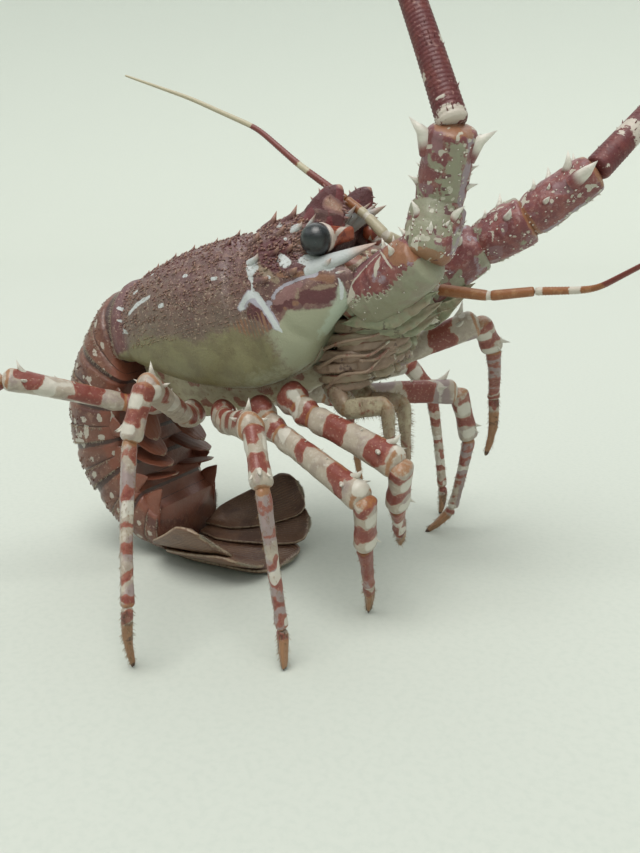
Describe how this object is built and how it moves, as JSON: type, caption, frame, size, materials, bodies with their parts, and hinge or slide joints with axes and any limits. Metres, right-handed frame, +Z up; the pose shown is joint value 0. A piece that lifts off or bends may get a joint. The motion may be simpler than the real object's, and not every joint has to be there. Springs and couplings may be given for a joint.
{
  "type": "spiny lobster",
  "caption": "Life-size model of a live spiny lobster standing on its walking legs and curled tail fan, long antennae raised and spread, shell spiny in front.",
  "frame": {"origin": "on the floor under the middle of the tail fan, on the animal's midline", "axes": "+X towards the head, +Y to the animal's left, +Z up"},
  "size_m": [0.3105, 0.4257, 0.4767],
  "materials": {
    "shell": "satin",
    "pale_shell": "satin",
    "stalk": "satin",
    "eye": "gloss",
    "antenna": "satin",
    "whip": "satin",
    "antennule": "satin",
    "leg": "satin",
    "abdomen": "satin",
    "fan": "satin"
  },
  "bodies": {
    "root": {"carapace": "shell", "face": "pale_shell", "thorax": "pale_shell", "mouthparts": "pale_shell", "eye_stalk_right": "stalk", "eye_stalk_left": "stalk", "eye_right": "eye", "eye_left": "eye", "maxilliped_right": "pale_shell", "maxilliped_left": "pale_shell", "antenna_right_base": "antenna", "antenna_left_base": "antenna", "antenna_right_middle": "antenna", "antenna_left_middle": "antenna", "antenna_right_upper": "antenna", "antenna_left_upper": "antenna", "antenna_right_whip": "whip", "antenna_left_whip": "whip", "antennule_right_stem": "antennule", "antennule_left_stem": "antennule", "antennule_right_whip": "antennule", "antennule_left_whip": "antennule", "leg_1_right_upper": "leg", "leg_1_right_lower": "leg", "leg_1_left_upper": "leg", "leg_1_left_lower": "leg", "leg_2_right_upper": "leg", "leg_2_right_lower": "leg", "leg_2_left_upper": "leg", "leg_2_left_lower": "leg", "leg_3_right_upper": "leg", "leg_3_right_lower": "leg", "leg_3_left_upper": "leg", "leg_3_left_lower": "leg", "leg_4_right_upper": "leg", "leg_4_right_lower": "leg", "leg_4_left_upper": "leg", "leg_4_left_lower": "leg", "leg_5_right_upper": "leg", "leg_5_right_lower": "leg", "leg_5_left_upper": "leg", "leg_5_left_lower": "leg", "abdomen_1": "abdomen", "abdomen_2": "abdomen", "abdomen_3": "abdomen", "abdomen_4": "abdomen", "abdomen_5": "abdomen", "abdomen_6": "abdomen", "telson": "fan", "uropod_inner_right": "fan", "uropod_inner_left": "fan", "uropod_outer_right": "fan", "uropod_outer_left": "fan"}
  },
  "joints": []
}
